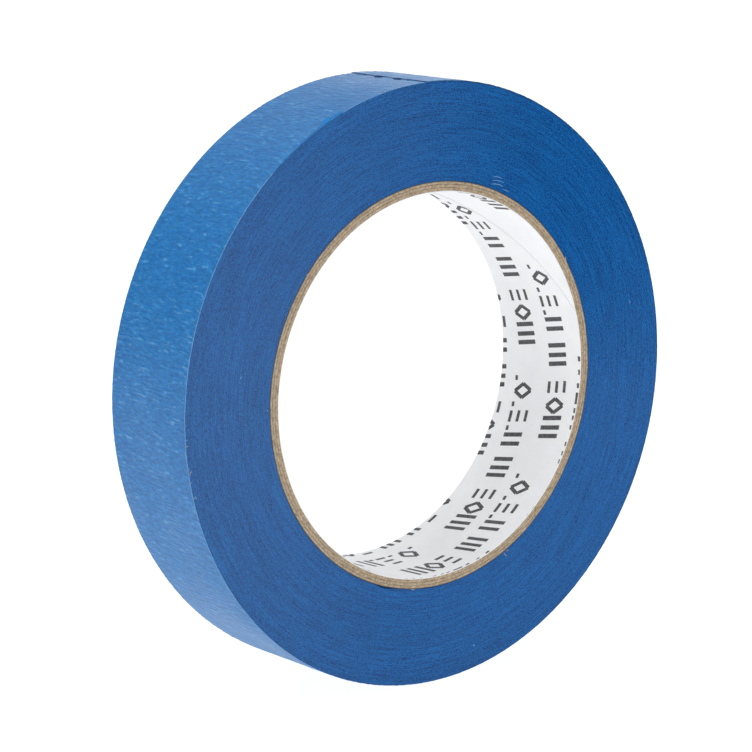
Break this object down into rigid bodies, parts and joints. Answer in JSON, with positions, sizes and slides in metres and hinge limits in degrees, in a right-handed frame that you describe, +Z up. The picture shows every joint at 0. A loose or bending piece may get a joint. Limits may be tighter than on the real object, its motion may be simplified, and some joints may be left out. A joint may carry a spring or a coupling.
{
  "type": "masking tape roll",
  "caption": "Roll of blue crepe-paper masking tape wound on a spiral paperboard core with a white printed liner; the free end of the tape peels up and curls back.",
  "frame": {"origin": "on the roll's axis, midway across the tape's width", "axes": "+Y along the roll's axis, away from the side face shown to a viewer; +Z up, as the roll stands on its rim, with the tape's cut end almost at the top; +X to the right as seen from -Y"},
  "size_m": [0.1191, 0.024, 0.1191],
  "materials": {
    "liner_paper": "smooth white printed paper",
    "kraft_paperboard": "matte brown kraft board",
    "crepe_tape": "matte blue crepe paper"
  },
  "bodies": {
    "roll": {"core_liner": "liner_paper", "core_ply_inner": "kraft_paperboard", "core_ply_middle": "kraft_paperboard", "core_ply_outer": "kraft_paperboard", "tape_windings": "crepe_tape"},
    "tape_end_1": {"tape_end_1": "crepe_tape"},
    "tape_end_2": {"tape_end_2": "crepe_tape"},
    "tape_end_3": {"tape_end_3": "crepe_tape"},
    "tape_end_4": {"tape_end_4": "crepe_tape"},
    "tape_end_5": {"tape_end_5": "crepe_tape"},
    "tape_end_6": {"tape_end_6": "crepe_tape"},
    "tape_end_7": {"tape_end_7": "crepe_tape"},
    "tape_end_8": {"tape_end_8": "crepe_tape"}
  },
  "joints": [
    {"name": "tape_bend_1", "type": "hinge", "parent": "roll", "child": "tape_end_1", "pos_m": [0.04272, 0, 0.04154], "axis": [0, 1, 0], "range_deg": [0, 15]},
    {"name": "tape_bend_2", "type": "hinge", "parent": "tape_end_1", "child": "tape_end_2", "pos_m": [0.03814, 0, 0.04578], "axis": [0, 1, 0], "range_deg": [0, 15]},
    {"name": "tape_bend_3", "type": "hinge", "parent": "tape_end_2", "child": "tape_end_3", "pos_m": [0.03315, 0, 0.04952], "axis": [0, 1, 0], "range_deg": [0, 15]},
    {"name": "tape_bend_4", "type": "hinge", "parent": "tape_end_3", "child": "tape_end_4", "pos_m": [0.02779, 0, 0.05271], "axis": [0, 1, 0], "range_deg": [0, 15]},
    {"name": "tape_bend_5", "type": "hinge", "parent": "tape_end_4", "child": "tape_end_5", "pos_m": [0.02213, 0, 0.05533], "axis": [0, 1, 0], "range_deg": [0, 15]},
    {"name": "tape_bend_6", "type": "hinge", "parent": "tape_end_5", "child": "tape_end_6", "pos_m": [0.01623, 0, 0.05734], "axis": [0, 1, 0], "range_deg": [0, 15]},
    {"name": "tape_bend_7", "type": "hinge", "parent": "tape_end_6", "child": "tape_end_7", "pos_m": [0.01014, 0, 0.05873], "axis": [0, 1, 0], "range_deg": [0, 15]},
    {"name": "tape_bend_8", "type": "hinge", "parent": "tape_end_7", "child": "tape_end_8", "pos_m": [0.00395, 0, 0.05947], "axis": [0, 1, 0], "range_deg": [0, 15]}
  ]
}
